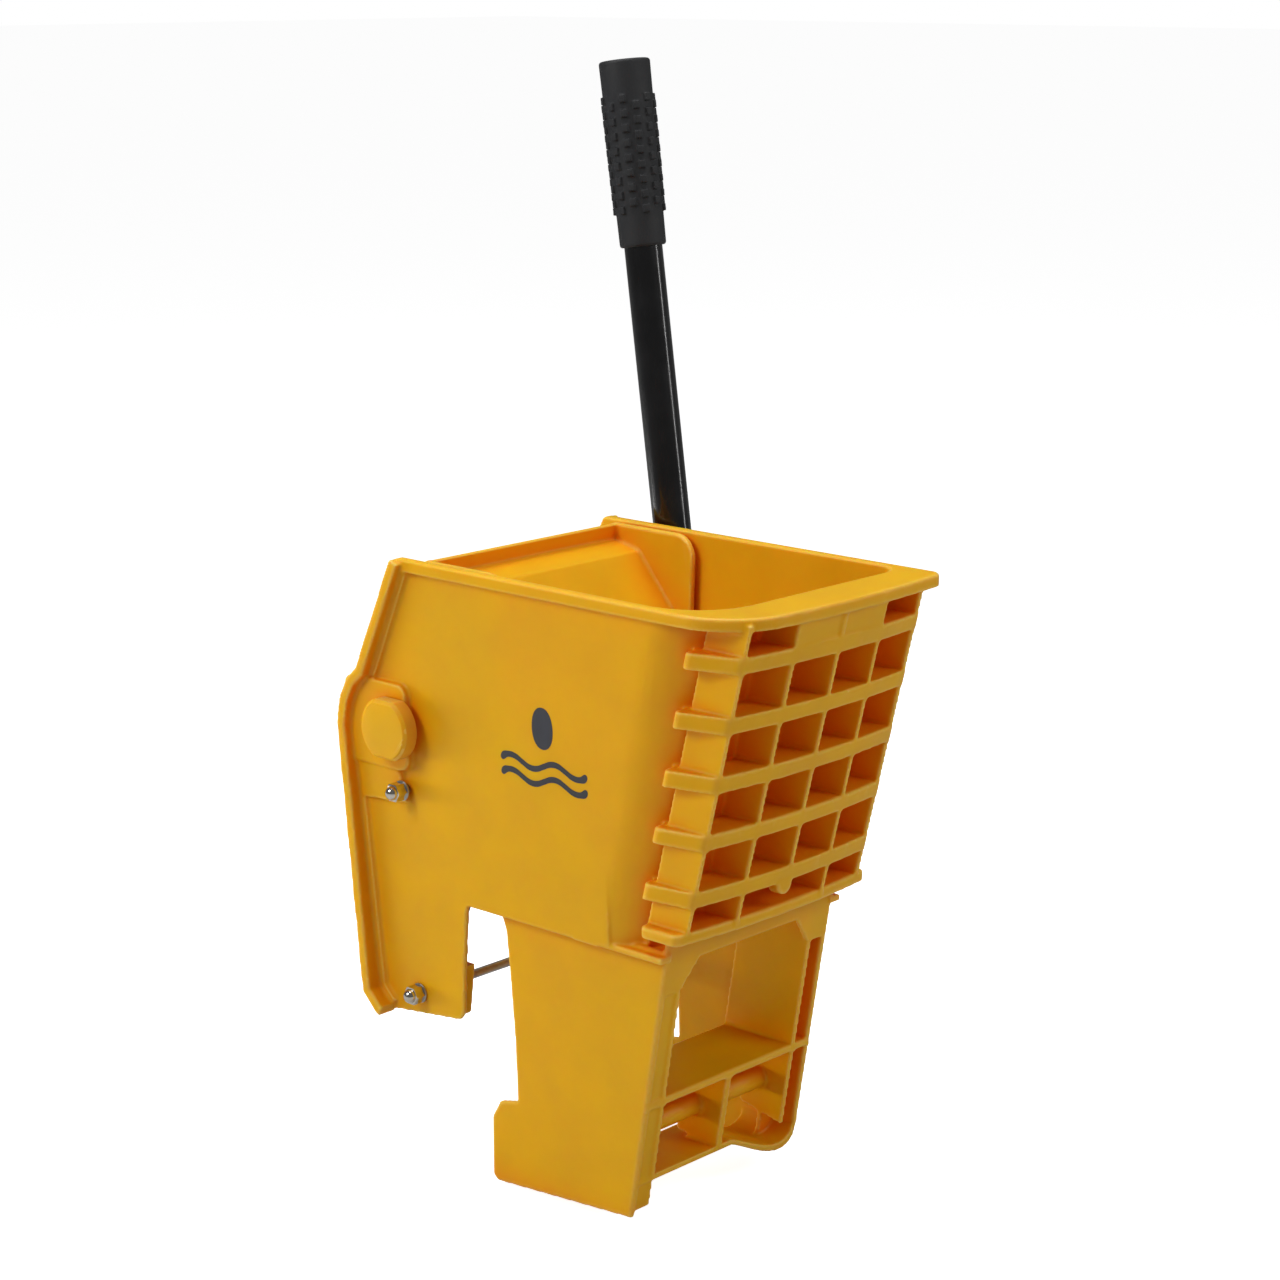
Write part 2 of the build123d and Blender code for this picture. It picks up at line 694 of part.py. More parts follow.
with BuildPart() as handle_bolts:
    for height in bolt_heights:
        bolt_plane = Plane(origin=tube_foot + tube_up * height, x_dir=(1, 0, 0), z_dir=tube_plane.y_dir)
        with BuildSketch(bolt_plane.offset(-sleeve_radius - 6.6)):
            Circle(screw_radius)
        extrude(amount=2 * sleeve_radius + 7.2)
        with BuildSketch(bolt_plane.offset(sleeve_radius)):
            RegularPolygon(hex_radius, 6)
        extrude(amount=4.5)
finish(handle_bolts.part, "handle_bolts")

with BuildPart() as handle_nuts:
    for height in bolt_heights:
        nut_plane = Plane(origin=tube_foot + tube_up * height, x_dir=(1, 0, 0), z_dir=tube_plane.y_dir)
        with BuildSketch(nut_plane.offset(-sleeve_radius)):
            RegularPolygon(hex_radius, 6)
            Circle(screw_radius, mode=Mode.SUBTRACT)
        extrude(amount=-lock_nut_height)
finish(handle_nuts.part, "handle_nuts")

# Fasteners in the housing
nut_across = 11.0
nut_height = 7.5
dome_radius = 4.7
washer_radius = 6.6
washer_thickness = 1.2
screw_end = 8.0             # how far the screws reach out past the walls
lock_nut_start = 74.2
pad_outer = 92.1            # outer face of the bolt pad at the bearing bolts
foot_outer = 83.5           # outer face of the wall at the tie rod


def washer(spot, start):
    for side in (-1, 1):
        with BuildSketch(yz_plane(side * start)) as ring:
            with Locations(spot):
                Circle(washer_radius)
                Circle(screw_radius, mode=Mode.SUBTRACT)
        extrude(ring.sketch, amount=side * washer_thickness)


def acorn_nut(spot, start):
    """Hexagon with a domed end, on both sides."""
    for side in (-1, 1):
        with BuildSketch(yz_plane(side * start)) as hexagon:
            with Locations(spot):
                RegularPolygon(nut_across / 2, 6, major_radius=False)
        extrude(hexagon.sketch, amount=side * nut_height)
        with Locations((side * (start + nut_height), spot[0], spot[1])):
            Sphere(dome_radius)
        with BuildSketch(yz_plane(side * (start - nut_height))) as bore:
            with Locations(spot):
                Circle(screw_radius)
        extrude(bore.sketch, amount=side * (nut_height + screw_end - 1), mode=Mode.SUBTRACT)


for name, spot, start in (("bearing_bolt", bearing_bolt, pad_outer), ("tie_rod", tie_rod_spot, foot_outer)):
    with BuildPart() as washers:
        washer(spot, start)
    finish(washers.part, f"{name}_washers")
    with BuildPart() as nuts:
        acorn_nut(spot, start + washer_thickness)
    finish(nuts.part, f"{name}_acorn_nuts")

with BuildPart() as bearing_bolts:
    for side in (-1, 1):
        round_bar(bearing_bolt, screw_radius, side * 84, side * (pad_outer + screw_end))
        with BuildSketch(yz_plane(side * 80.8)) as head:
            with Locations(bearing_bolt):
                RegularPolygon(nut_across / 2, 6, major_radius=False)
        extrude(head.sketch, amount=side * 4)
finish(bearing_bolts.part, "bearing_bolts")

with BuildPart() as tie_rod:
    round_bar(tie_rod_spot, screw_radius, -foot_outer - screw_end, foot_outer + screw_end)
finish(tie_rod.part, "tie_rod")

with BuildPart() as lock_nuts:
    for side in (-1, 1):
        with BuildSketch(yz_plane(side * lock_nut_start)) as lock_nut:
            with Locations(tie_rod_spot):
                RegularPolygon(nut_across / 2, 6, major_radius=False)
                Circle(screw_radius, mode=Mode.SUBTRACT)
        extrude(lock_nut.sketch, amount=side * lock_nut_height)
finish(lock_nuts.part, "tie_rod_lock_nuts")

with BuildPart() as rest_bumpers:
    with BuildSketch(side_plane(seat_half - wall)):
        with Locations((55, 190)):
            Circle(7)
    extrude(amount=-8)
    mirror(about=Plane.YZ)
finish(rest_bumpers.part, "rest_bumpers")

# Return springs, from the tie rod to the pins on the press plate
spring_low = Vector(0, *tie_rod_spot)
spring_high = Vector(0, *spring_pin)
spring_dir = (spring_high - spring_low).normalized()
spring_span = (spring_high - spring_low).length
wire_radius = 0.9
coil_radius = 5.5
loop_radius = 4.6
shank_start = 4.4
hook_length = 16.0          # from the middle of each end loop to the coils

for side, side_name in ((-1, "left"), (1, "right")):
    foot = Vector(side * spring_x, *tie_rod_spot)
    with BuildPart() as spring:
        with BuildSketch(Plane(origin=foot + spring_dir * hook_length, x_dir=(1, 0, 0), z_dir=spring_dir)):
            Circle(coil_radius + wire_radius)
            Circle(coil_radius - wire_radius, mode=Mode.SUBTRACT)
        extrude(amount=spring_span - 2 * hook_length)
        for hook_at, start in ((spring_low, shank_start), (spring_high, spring_span - hook_length - 1)):
            with BuildSketch(Plane(origin=foot + spring_dir * start, x_dir=(1, 0, 0), z_dir=spring_dir)):
                Circle(wire_radius)
            extrude(amount=hook_length + 1 - shank_start)
            with Locations(Location((side * spring_x, hook_at.Y, hook_at.Z), (0, 90, 0))):
                Torus(loop_radius, wire_radius)
        for end in (hook_length, spring_span - hook_length - 1):
            with BuildSketch(Plane(origin=foot + spring_dir * end, x_dir=(1, 0, 0), z_dir=spring_dir)):
                Circle(coil_radius)
            extrude(amount=1)
    finish(spring.part, f"return_spring_{side_name}")
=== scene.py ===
import json
import math

import bmesh
import bpy
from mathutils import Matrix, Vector


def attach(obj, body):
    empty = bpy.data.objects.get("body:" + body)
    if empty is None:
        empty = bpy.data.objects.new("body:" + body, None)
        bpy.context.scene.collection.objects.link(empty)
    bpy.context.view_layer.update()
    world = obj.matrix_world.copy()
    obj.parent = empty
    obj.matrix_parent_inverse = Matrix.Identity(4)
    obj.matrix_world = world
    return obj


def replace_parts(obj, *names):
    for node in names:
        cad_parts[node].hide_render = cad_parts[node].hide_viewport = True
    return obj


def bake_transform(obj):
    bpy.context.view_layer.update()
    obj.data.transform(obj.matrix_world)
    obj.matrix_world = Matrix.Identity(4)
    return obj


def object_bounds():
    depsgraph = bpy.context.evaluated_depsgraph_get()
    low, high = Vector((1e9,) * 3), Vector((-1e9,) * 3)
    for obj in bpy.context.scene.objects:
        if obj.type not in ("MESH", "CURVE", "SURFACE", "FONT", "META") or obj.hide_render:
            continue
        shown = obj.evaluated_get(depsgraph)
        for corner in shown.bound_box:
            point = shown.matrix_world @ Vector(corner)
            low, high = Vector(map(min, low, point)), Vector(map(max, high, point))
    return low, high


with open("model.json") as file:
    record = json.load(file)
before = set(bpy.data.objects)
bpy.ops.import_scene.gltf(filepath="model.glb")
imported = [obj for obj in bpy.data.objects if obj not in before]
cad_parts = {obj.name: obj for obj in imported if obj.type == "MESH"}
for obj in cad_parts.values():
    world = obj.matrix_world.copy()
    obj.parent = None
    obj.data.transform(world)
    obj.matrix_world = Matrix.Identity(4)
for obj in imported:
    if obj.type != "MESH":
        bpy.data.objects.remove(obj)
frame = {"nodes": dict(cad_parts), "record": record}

# Side-press mop wringer. Metres, +Z up, +X to the handle side, the grille faces -Y.
cadBox = [list(corner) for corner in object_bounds()]
mm = 0.001
bodyOf = {name: body for body, names in frame["record"]["behaviour"]["bodies"].items() for name in names}
slotOf = {part["node"]: part["material_slot"] for part in frame["record"]["subparts"]}


def hexColour(code):
    # sRGB hex to the linear colour that a shader socket takes
    channels = [int(code[place:place + 2], 16) / 255 for place in (1, 3, 5)]
    return [c / 12.92 if c <= 0.04045 else ((c + 0.055) / 1.055) ** 2.4 for c in channels] + [1]


def perMetre(millimetres):
    # pattern scale whose features are about this far apart
    return 1 / (millimetres * mm)


def addNode(tree, kind, settings=None, inputs=None):
    # adds a node; an input is a value, or another node's output to link from
    node = tree.nodes.new(kind)
    for name, value in (settings or {}).items():
        setattr(node, name, value)
    for name, value in (inputs or {}).items():
        if isinstance(value, bpy.types.NodeSocket):
            tree.links.new(value, node.inputs[name])
        else:
            node.inputs[name].default_value = value
    return node


def newMaterial(name):
    # empty material with object coordinates, a shader and its output
    material = bpy.data.materials.new(name)
    material.use_nodes = True
    tree = material.node_tree
    tree.nodes.clear()
    place = addNode(tree, "ShaderNodeTexCoord").outputs["Object"]
    shader = addNode(tree, "ShaderNodeBsdfPrincipled")
    addNode(tree, "ShaderNodeOutputMaterial", inputs={"Surface": shader.outputs["BSDF"]})
    return material, tree, place, shader


def setRamp(ramp, stops):
    elements = ramp.color_ramp.elements
    while len(elements) < len(stops):
        elements.new(0.5)
    for element, (position, colour) in zip(elements, stops):
        element.position = position
        element.color = colour


mouldedYellow = {
    "colour": "#e2aa00", "clouded": "#dca404",      # the plastic, and its soft flow marks
    "shade": "#ea7800", "edge": "#ecc562",          # painted shade and glow between close walls, and a painted highlight with a little wear on sharp edges
    "roughness": (0.38, 0.50),
    "flowSize": 42, "creaseReach": 30,              # millimetres
    "grainSize": 0.7,                               # coarser than the real 0.1 mm, so that it shows
}


def mouldedPolypropylene():
    # injection-moulded polypropylene: satin and slightly translucent, with a fine spark-eroded grain
    # and long soft flow marks; painted shade and glow, a warmer deeper orange, between close walls, and a
    # painted highlight on sharp edges
    made = mouldedYellow
    material, tree, place, shader = newMaterial("mouldedYellowPolypropylene")
    flow = addNode(tree, "ShaderNodeTexNoise", inputs={
        "Vector": place, "Scale": perMetre(made["flowSize"]), "Detail": 4, "Roughness": 0.55})
    grain = addNode(tree, "ShaderNodeTexNoise", inputs={
        "Vector": place, "Scale": perMetre(made["grainSize"]), "Detail": 3, "Roughness": 0.6})
    tone = addNode(tree, "ShaderNodeValToRGB", inputs={"Fac": flow.outputs["Fac"]})
    setRamp(tone, [(0.35, hexColour(made["clouded"])), (0.65, hexColour(made["colour"]))])
    # painted shade and glow: where occlusion finds close walls, the colour turns a deeper orange
    crease = addNode(tree, "ShaderNodeAmbientOcclusion", {"samples": 8}, {
        "Distance": made["creaseReach"] * mm})
    closeness = addNode(tree, "ShaderNodeMapRange", inputs={
        "Value": crease.outputs["AO"], "From Min": 0.15, "From Max": 0.95, "To Min": 1, "To Max": 0})
    paintedCreaseShade = addNode(tree, "ShaderNodeMix", {"data_type": "RGBA"}, {
        "Factor": closeness.outputs["Result"], "A": tone.outputs["Color"],
        "B": hexColour(made["shade"])})
    # painted highlight, with a little wear: sharp convex edges turn a paler yellow
    corner = addNode(tree, "ShaderNodeMapRange", inputs={
        "Value": addNode(tree, "ShaderNodeNewGeometry").outputs["Pointiness"],
        "From Min": 0.505, "From Max": 0.56, "To Min": 0, "To Max": 0.7})
    lit = addNode(tree, "ShaderNodeMix", {"data_type": "RGBA"}, {
        "Factor": corner.outputs["Result"], "A": paintedCreaseShade.outputs["Result"],
        "B": hexColour(made["edge"])})
    polish = addNode(tree, "ShaderNodeMapRange", inputs={
        "Value": flow.outputs["Fac"], "From Min": 0.3, "From Max": 0.7,
        "To Min": made["roughness"][0], "To Max": made["roughness"][1]})
    waves = addNode(tree, "ShaderNodeBump", inputs={
        "Height": flow.outputs["Fac"], "Strength": 0.12, "Distance": 0.6 * mm})
    skin = addNode(tree, "ShaderNodeBump", inputs={
        "Height": grain.outputs["Fac"], "Strength": 0.22, "Distance": 0.05 * mm,
        "Normal": waves.outputs["Normal"]})
    for name, value in (("Base Color", lit.outputs["Result"]), ("Roughness", polish.outputs["Result"]),
                        ("Normal", skin.outputs["Normal"])):
        tree.links.new(value, shader.inputs[name])
    shader.inputs["IOR"].default_value = 1.49
    shader.inputs["Specular IOR Level"].default_value = 0.28
    shader.inputs["Subsurface Weight"].default_value = 0.6
    shader.inputs["Subsurface Radius"].default_value = (1.0, 0.45, 0.05)
    shader.inputs["Subsurface Scale"].default_value = 7 * mm
    return material


def platedMetal(name, colour, dark, roughness, grainSize, bump, cloudSize=6):
    # a thin bright coat over drawn or turned metal: sharp reflections with faint cloudy dulling
    material, tree, place, shader = newMaterial(name)
    cloud = addNode(tree, "ShaderNodeTexNoise", inputs={
        "Vector": place, "Scale": perMetre(cloudSize), "Detail": 5})
    grain = addNode(tree, "ShaderNodeTexNoise", inputs={
        "Vector": place, "Scale": perMetre(grainSize), "Detail": 2})
    tone = addNode(tree, "ShaderNodeValToRGB", inputs={"Fac": cloud.outputs["Fac"]})
    setRamp(tone, [(0.3, hexColour(dark)), (0.6, hexColour(colour))])
    polish = addNode(tree, "ShaderNodeMapRange", inputs={
        "Value": cloud.outputs["Fac"], "From Min": 0.3, "From Max": 0.7,
        "To Min": roughness[1], "To Max": roughness[0]})
    skin = addNode(tree, "ShaderNodeBump", inputs={
        "Height": grain.outputs["Fac"], "Strength": bump, "Distance": 0.04 * mm})
    for socket, value in (("Base Color", tone.outputs["Color"]), ("Roughness", polish.outputs["Result"]),
                          ("Normal", skin.outputs["Normal"])):
        tree.links.new(value, shader.inputs[socket])
    shader.inputs["Metallic"].default_value = 1
    return material


def darkFinish(name, colour, worn, roughness, grainSize, depth, coat=0.0, ior=1.5, patchSize=22):
    # paint, plastic or rubber: broad patches of handling wear, and a grain of the size given
    material, tree, place, shader = newMaterial(name)
    patches = addNode(tree, "ShaderNodeTexNoise", inputs={
        "Vector": place, "Scale": perMetre(patchSize), "Detail": 6, "Roughness": 0.6})
    grain = addNode(tree, "ShaderNodeTexNoise", inputs={
        "Vector": place, "Scale": perMetre(grainSize), "Detail": 3})
    tone = addNode(tree, "ShaderNodeValToRGB", inputs={"Fac": patches.outputs["Fac"]})
    setRamp(tone, [(0.4, hexColour(colour)), (0.75, hexColour(worn))])
    polish = addNode(tree, "ShaderNodeMapRange", inputs={
        "Value": patches.outputs["Fac"], "From Min": 0.35, "From Max": 0.7,
        "To Min": roughness[0], "To Max": roughness[1]})
    skin = addNode(tree, "ShaderNodeBump", inputs={
        "Height": grain.outputs["Fac"], "Strength": 0.35, "Distance": depth * mm})
    for socket, value in (("Base Color", tone.outputs["Color"]), ("Roughness", polish.outputs["Result"]),
                          ("Normal", skin.outputs["Normal"])):
        tree.links.new(value, shader.inputs[socket])
    shader.inputs["IOR"].default_value = ior
    shader.inputs["Coat Weight"].default_value = coat
    shader.inputs["Coat Roughness"].default_value = 0.06
    return material


yellow = mouldedPolypropylene()
# bright zinc plate on drawn bar: a soft silver sheen
zinc = platedMetal("zincPlatedSteel", "#c3c6c8", "#a9adb0", (0.30, 0.36), 2.0, 0.03)
# nickel plate on turned brass: a warm mirror on the domed nuts
nickel = platedMetal("nickelPlatedBrass", "#dcd8d0", "#c2bcb0", (0.08, 0.16), 1.5, 0.03)
# hard-drawn wire: a darker and duller grey than the plate
springWire = platedMetal("drawnSpringWire", "#9a9c9f", "#7c7e82", (0.32, 0.38), 2.0, 0.03)
# stoved gloss enamel on steel tube: deep black with a clear narrow highlight
tubeEnamel = darkFinish("glossEnamelOnSteel", "#060607", "#0b0b0d", (0.16, 0.26), 1.6, 0.05, coat=0.5)
# powder coat on cast iron: satin black with a faint orange peel
powderCoat = darkFinish("powderCoatOnCastIron", "#141415", "#1f1f21", (0.42, 0.55), 0.9, 0.12)
# moulded rubber: matt and slightly dusty
gripRubber = darkFinish("mouldedGripRubber", "#17181a", "#1e1f22", (0.62, 0.78), 0.5, 0.06)
# glass-filled nylon: dull black, a little mottled by the fibres
gearNylon = darkFinish("glassFilledNylon", "#19191a", "#232324", (0.40, 0.52), 0.6, 0.05)
# machined acetal: milky white with a waxy gloss
acetal = darkFinish("machinedAcetal", "#e6e3da", "#dcd8cc", (0.28, 0.38), 0.4, 0.03, ior=1.48)

finishes = {
    "yellow_moulding": yellow, "bearing_plastic": acetal, "zinc_steel": zinc, "gear_plastic": gearNylon,
    "black_casting": powderCoat, "black_tube": tubeEnamel, "grip_rubber": gripRubber,
    "nickel_nut": nickel, "spring_steel": springWire,
}
for nodeName, node in frame["nodes"].items():
    node.data.materials.clear()
    node.data.materials.append(finishes[slotOf[nodeName]])
print("materials done")


def deselectAll():
    if bpy.context.object and bpy.context.object.mode != "OBJECT":
        bpy.ops.object.mode_set(mode="OBJECT")
    bpy.ops.object.select_all(action="DESELECT")


def makeActive(piece):
    deselectAll()
    piece.select_set(True)
    bpy.context.view_layer.objects.active = piece


def mergedCopy(nodeName, name):
    # copy of a CAD node's mesh with its loose triangles joined up
    piece = bpy.data.objects.new(name, frame["nodes"][nodeName].data.copy())
    bpy.context.scene.collection.objects.link(piece)
    mesh = bmesh.new()
    mesh.from_mesh(piece.data)
    bmesh.ops.remove_doubles(mesh, verts=mesh.verts, dist=0.002 * mm)
    mesh.to_mesh(piece.data)
    mesh.free()
    return piece


def applyModifier(piece, kind, settings):
    makeActive(piece)
    modifier = piece.modifiers.new(kind, kind)
    for name, value in settings.items():
        setattr(modifier, name, value)
    bpy.ops.object.modifier_apply(modifier=modifier.name)


def softenMoulding(piece, voxel, rounds, triangles):
    # rounds every edge as a mould does: fine remesh, light smoothing, then fewer faces on the flats
    applyModifier(piece, "REMESH", {"mode": "VOXEL", "voxel_size": voxel * mm, "use_smooth_shade": True})
    applyModifier(piece, "SMOOTH", {"factor": 0.5, "iterations": rounds})
    count = sum(len(face.vertices) - 2 for face in piece.data.polygons)
    applyModifier(piece, "DECIMATE", {"ratio": min(1.0, triangles / count)})
    makeActive(piece)
    bpy.ops.object.shade_smooth()
    print(piece.name, "faces before", count, "after", len(piece.data.polygons))


def stands(piece, nodeName):
    # piece takes the place, the finish and the motion of a CAD node
    piece.data.materials.clear()
    piece.data.materials.append(finishes[slotOf[nodeName]])
    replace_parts(piece, nodeName)
    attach(piece, bodyOf[nodeName])


# voxel in millimetres (draft while working), rounds of smoothing, faces kept
mouldings = {
    "housing": {"name": "mouldedHousing", "voxel": 1.1, "draft": 1.6, "rounds": 3, "faces": 190000},
    "press_plate": {"name": "mouldedPressPlate", "voxel": 1.1, "draft": 1.6, "rounds": 3, "faces": 90000},
    "handle_socket": {"name": "castSocket", "voxel": 0.8, "draft": 0.8, "rounds": 4, "faces": 40000},
    "handle_grip": {"name": "ribbedGrip", "voxel": 0.5, "draft": 0.5, "rounds": 3, "faces": 90000},
}
for nodeName, made in mouldings.items():
    piece = mergedCopy(nodeName, made["name"])
    voxel = made["voxel"]
    softenMoulding(piece, voxel, made["rounds"], made["faces"])
    stands(piece, nodeName)
print("mouldings done")

# width of the broken edge on each machined piece, in millimetres
hardware = {
    "shaft_end_cap": 0.9, "drive_sector_left": 0.5, "drive_sector_right": 0.5,
    "bearing_bolt_acorn_nuts": 0.35, "tie_rod_acorn_nuts": 0.35, "bearing_bolt_washers": 0.2,
    "tie_rod_washers": 0.2, "tie_rod_lock_nuts": 0.35, "handle_bolts": 0.35, "handle_nuts": 0.35,
    "bearing_bolts": 0.3,
}
brokenEdge = {
    "segments": 3, "limit_method": "ANGLE", "angle_limit": math.radians(32), "harden_normals": False,
}
for nodeName, width in hardware.items():
    words = nodeName.split("_")
    piece = mergedCopy(nodeName, words[0] + "".join(word.title() for word in words[1:]))
    applyModifier(piece, "BEVEL", {"width": width * mm, **brokenEdge})
    makeActive(piece)
    bpy.ops.object.shade_smooth_by_angle(angle=math.radians(35))
    stands(piece, nodeName)
print("hardware done")

returnSpring = {
    "wire": 0.9, "coil": 5.5, "pitch": 2.3,         # wire and coil radius, and the rise of each turn
    "reach": 69, "low": (61, -70), "high": (0, 83),  # half width, the tie rod and the plate's pin
    "hook": 16, "loop": 4.6,                        # from a loop's middle to the coils, and its radius
    "shank": 13, "shankMiddle": 10.5,               # straight wire from a loop to the coils
    "wireSides": 8, "turnSteps": 14,
}


def makeSpring(side, name):
    # close-wound extension spring: a ring of wire screwed along the axis, with a loop at each end
    made = returnSpring
    low = Vector((side * made["reach"], *made["low"])) * mm
    high = Vector((side * made["reach"], *made["high"])) * mm
    coiled = (high - low).length - 2 * made["hook"] * mm
    deselectAll()
    bpy.ops.mesh.primitive_circle_add(vertices=made["wireSides"], radius=made["wire"] * mm,
                                      fill_type="NOTHING",
                                      location=(made["coil"] * mm, 0, made["hook"] * mm),
                                      rotation=(math.radians(90), 0, 0))
    spring = bpy.context.object
    spring.name = name
    bpy.ops.object.transform_apply(location=True, rotation=True, scale=True)
    turns = round(coiled / (made["pitch"] * mm))
    applyModifier(spring, "SCREW", {"axis": "Z", "angle": math.radians(360), "iterations": turns,
                                    "screw_offset": coiled / turns, "steps": made["turnSteps"],
                                    "render_steps": made["turnSteps"], "use_merge_vertices": False})
    loops = [spring]
    for height, towards in ((0, 1), ((high - low).length, -1)):
        deselectAll()
        bpy.ops.mesh.primitive_torus_add(major_radius=made["loop"] * mm, minor_radius=made["wire"] * mm,
                                         major_segments=24, minor_segments=made["wireSides"],
                                         location=(0, 0, height), rotation=(0, math.radians(90), 0))
        loops.append(bpy.context.object)
        deselectAll()
        bpy.ops.mesh.primitive_cylinder_add(vertices=made["wireSides"], radius=made["wire"] * mm,
                                            depth=made["shank"] * mm,
                                            location=(0, 0, height + towards * made["shankMiddle"] * mm))
        loops.append(bpy.context.object)
    deselectAll()
    for part in loops:
        part.select_set(True)
    bpy.context.view_layer.objects.active = spring
    bpy.ops.object.join()
    spring.rotation_euler = (high - low).to_track_quat("Z", "X").to_euler()
    spring.location = low
    makeActive(spring)
    bpy.ops.object.transform_apply(location=True, rotation=True, scale=True)
    bpy.ops.object.mode_set(mode="EDIT")
    bpy.ops.mesh.select_all(action="SELECT")
    bpy.ops.mesh.normals_make_consistent(inside=False)
    bpy.ops.object.mode_set(mode="OBJECT")
    bpy.ops.object.shade_smooth()
    spring.data.materials.append(springWire)
    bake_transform(spring)
    return spring


for side, sideName in ((-1, "left"), (1, "right")):
    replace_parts(makeSpring(side, sideName + "ReturnSpring"), "return_spring_" + sideName)
print("springs done")

sideWall = {"atSeat": 86, "taper": 0.04}            # outer half width at the slot's top, and its widening
badge = {
    "place": (-60, 122), "size": 1.2, "proud": 0.12, "ink": "#34353b", "worn": "#3d3e45",
    "dropTop": 18.6, "dropMiddle": 4.8, "dropHalf": 7.2, "dropFoot": -3.6,
    "waveTop": -11, "waveStep": 8, "waveRise": 2.4, "waveLength": 31, "waveDepth": 3.2, "waveHalf": 30,
}


def badgePiece(name, outline, ink):
    # flat shape of a thin layer of ink, laid on the tapered left wall
    curve = bpy.data.curves.new(name, "CURVE")
    curve.dimensions = "2D"
    curve.fill_mode = "BOTH"
    for closedLoop in outline:
        spline = curve.splines.new("BEZIER")
        spline.bezier_points.add(len(closedLoop) - 1)
        for point, place in zip(spline.bezier_points, closedLoop):
            point.co = (place[0] * badge["size"] * mm, place[1] * badge["size"] * mm, 0)
            point.handle_left_type = point.handle_right_type = "AUTO"
        spline.use_cyclic_u = True
    curve.extrude = badge["proud"] * mm
    piece = bpy.data.objects.new(name, curve)
    bpy.context.scene.collection.objects.link(piece)
    makeActive(piece)
    bpy.ops.object.convert(target="MESH")
    piece = bpy.context.object
    across, height = badge["place"]
    wall = sideWall["atSeat"] + sideWall["taper"] * height
    piece.rotation_euler = (math.radians(90), 0, math.radians(-90))
    bpy.ops.object.transform_apply(rotation=True)
    piece.rotation_euler = (0, -math.atan(sideWall["taper"]), 0)
    piece.location = (-wall * mm, across * mm, height * mm)
    bpy.ops.object.transform_apply(location=True, rotation=True)
    piece.data.materials.append(ink)
    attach(piece, "root")
    return piece


# pad-printed ink: a thin matt layer that lets a little of the moulding's waviness through
ink = darkFinish("padPrintedInk", badge["ink"], badge["worn"], (0.45, 0.6), 0.4, 0.02)
badgePiece("badgeDrop", [[
    (0, badge["dropTop"]), (badge["dropHalf"], badge["dropMiddle"]),
    (0, badge["dropFoot"]), (-badge["dropHalf"], badge["dropMiddle"]),
]], ink)
for row in range(2):
    upper = [
        (across, badge["waveTop"] - badge["waveStep"] * row
         + badge["waveRise"] * math.sin(2 * math.pi * across / badge["waveLength"]))
        for across in range(-badge["waveHalf"], badge["waveHalf"] + 1, 5)
    ]
    lower = [(across, height - badge["waveDepth"]) for across, height in reversed(upper)]
    badgePiece(f"badgeWave{row + 1}", [upper + lower], ink)
print("badge done")

studio = {
    "cameraPlace": (-1.301, -1.253, 0.583), "turn": 47.4, "tilt": 13.15, "lens": 81.5,
    "floorSize": 60, "floorDrop": 4,                # metres across, and millimetres below the feet
    "floorColour": "#f0f0f0", "floorBounce": "#bcbcbc",  # as seen, and as it lights the object
    "floorGlow": (0.05, 0.85), "roomGlow": 0.14,
}
cameraData = bpy.data.cameras.new("camera")
cameraData.lens = studio["lens"]
cameraData.clip_start = 0.05
camera = bpy.data.objects.new("camera", cameraData)
camera.location = studio["cameraPlace"]
camera.rotation_euler = (math.radians(90 - studio["tilt"]), 0, math.radians(-studio["turn"]))
bpy.context.scene.collection.objects.link(camera)
bpy.context.scene.camera = camera

deselectAll()
floorHeight = cadBox[0][2] - studio["floorDrop"] * mm
bpy.ops.mesh.primitive_plane_add(size=studio["floorSize"], location=(0, 0, floorHeight))
floor = bpy.context.object
floor.name = "floor"
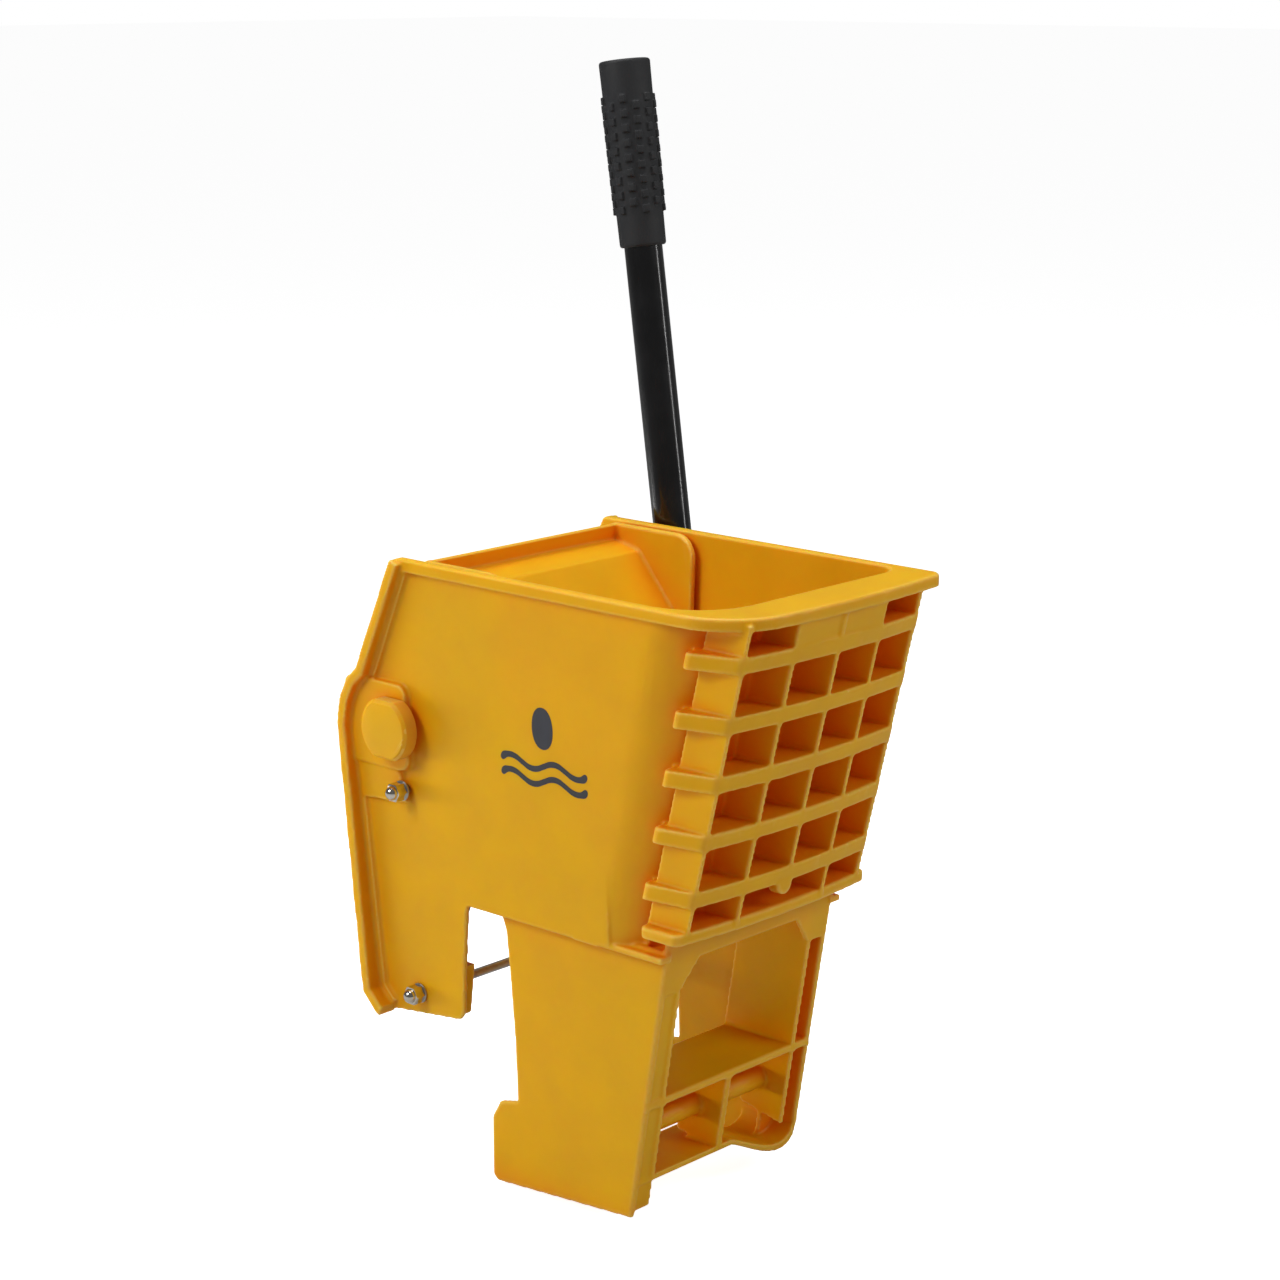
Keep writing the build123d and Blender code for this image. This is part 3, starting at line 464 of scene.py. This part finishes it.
# matt backdrop paper: an even white that the object's soft shadow fades into
floorPaper, floorTree, _, floorShader = newMaterial("matteBackdropPaper")
floorShader.inputs["Roughness"].default_value = 0.9
floorShader.inputs["Emission Color"].default_value = hexColour("#ffffff")
floorSeen = addNode(floorTree, "ShaderNodeLightPath").outputs["Is Camera Ray"]
floorGlow = addNode(floorTree, "ShaderNodeMapRange", inputs={
    "Value": floorSeen, "To Min": studio["floorGlow"][0], "To Max": studio["floorGlow"][1]})
floorTree.links.new(floorGlow.outputs["Result"], floorShader.inputs["Emission Strength"])
floorTone = addNode(floorTree, "ShaderNodeMix", {"data_type": "RGBA"}, {
    "Factor": floorSeen, "A": hexColour(studio["floorBounce"]), "B": hexColour(studio["floorColour"])})
floorTree.links.new(floorTone.outputs["Result"], floorShader.inputs["Base Color"])
floor.data.materials.append(floorPaper)


# place, aim, size and watts, and whether it shows in reflections
lamps = {
    "keyLight": ((-1.5, 0.5, 1.3), (0, 0, 0.3), (0.7, 0.7), 18, True),
    "topLight": ((0.1, 0.1, 2.0), (0, 0, 0), (1.1, 1.1), 24, True),
    "frontLight": ((0.6, -2.0, 1.5), (0, 0, 0.1), (0.8, 0.8), 13, True),
    "fillLight": ((-1.75, -1.75, 0.25), (0, 0, 0), (0.8, 0.8), 4, False),
    "backLight": ((-0.8, 1.7, -0.05), (0, -0.1, -0.05), (0.9, 0.25), 18, False),
    "stripLight": ((1.5, -1.7, 0.7), (0, 0, 0.35), (0.10, 1.3), 5, True),
}
for name, (place, aim, size, watts, mirrored) in lamps.items():
    data = bpy.data.lights.new(name, "AREA")
    data.shape = "RECTANGLE"
    data.size, data.size_y = size
    data.energy = watts
    lamp = bpy.data.objects.new(name, data)
    lamp.location = place
    lamp.visible_glossy = mirrored
    lamp.rotation_euler = (Vector(aim) - Vector(place)).to_track_quat("-Z", "Y").to_euler()
    bpy.context.scene.collection.objects.link(lamp)

world = bpy.data.worlds.new("studio")
world.use_nodes = True
worldTree = world.node_tree
worldTree.nodes.clear()
seen = addNode(worldTree, "ShaderNodeLightPath").outputs["Is Camera Ray"]
glow = addNode(worldTree, "ShaderNodeMapRange", inputs={
    "Value": seen, "To Min": studio["roomGlow"], "To Max": 1})
room = addNode(worldTree, "ShaderNodeBackground", inputs={
    "Color": hexColour("#ffffff"), "Strength": glow.outputs["Result"]})
addNode(worldTree, "ShaderNodeOutputWorld", inputs={"Surface": room.outputs["Background"]})
bpy.context.scene.world = world
bpy.context.scene.view_settings.view_transform = "Standard"    # keeps the plastic's full colour
print("studio done")
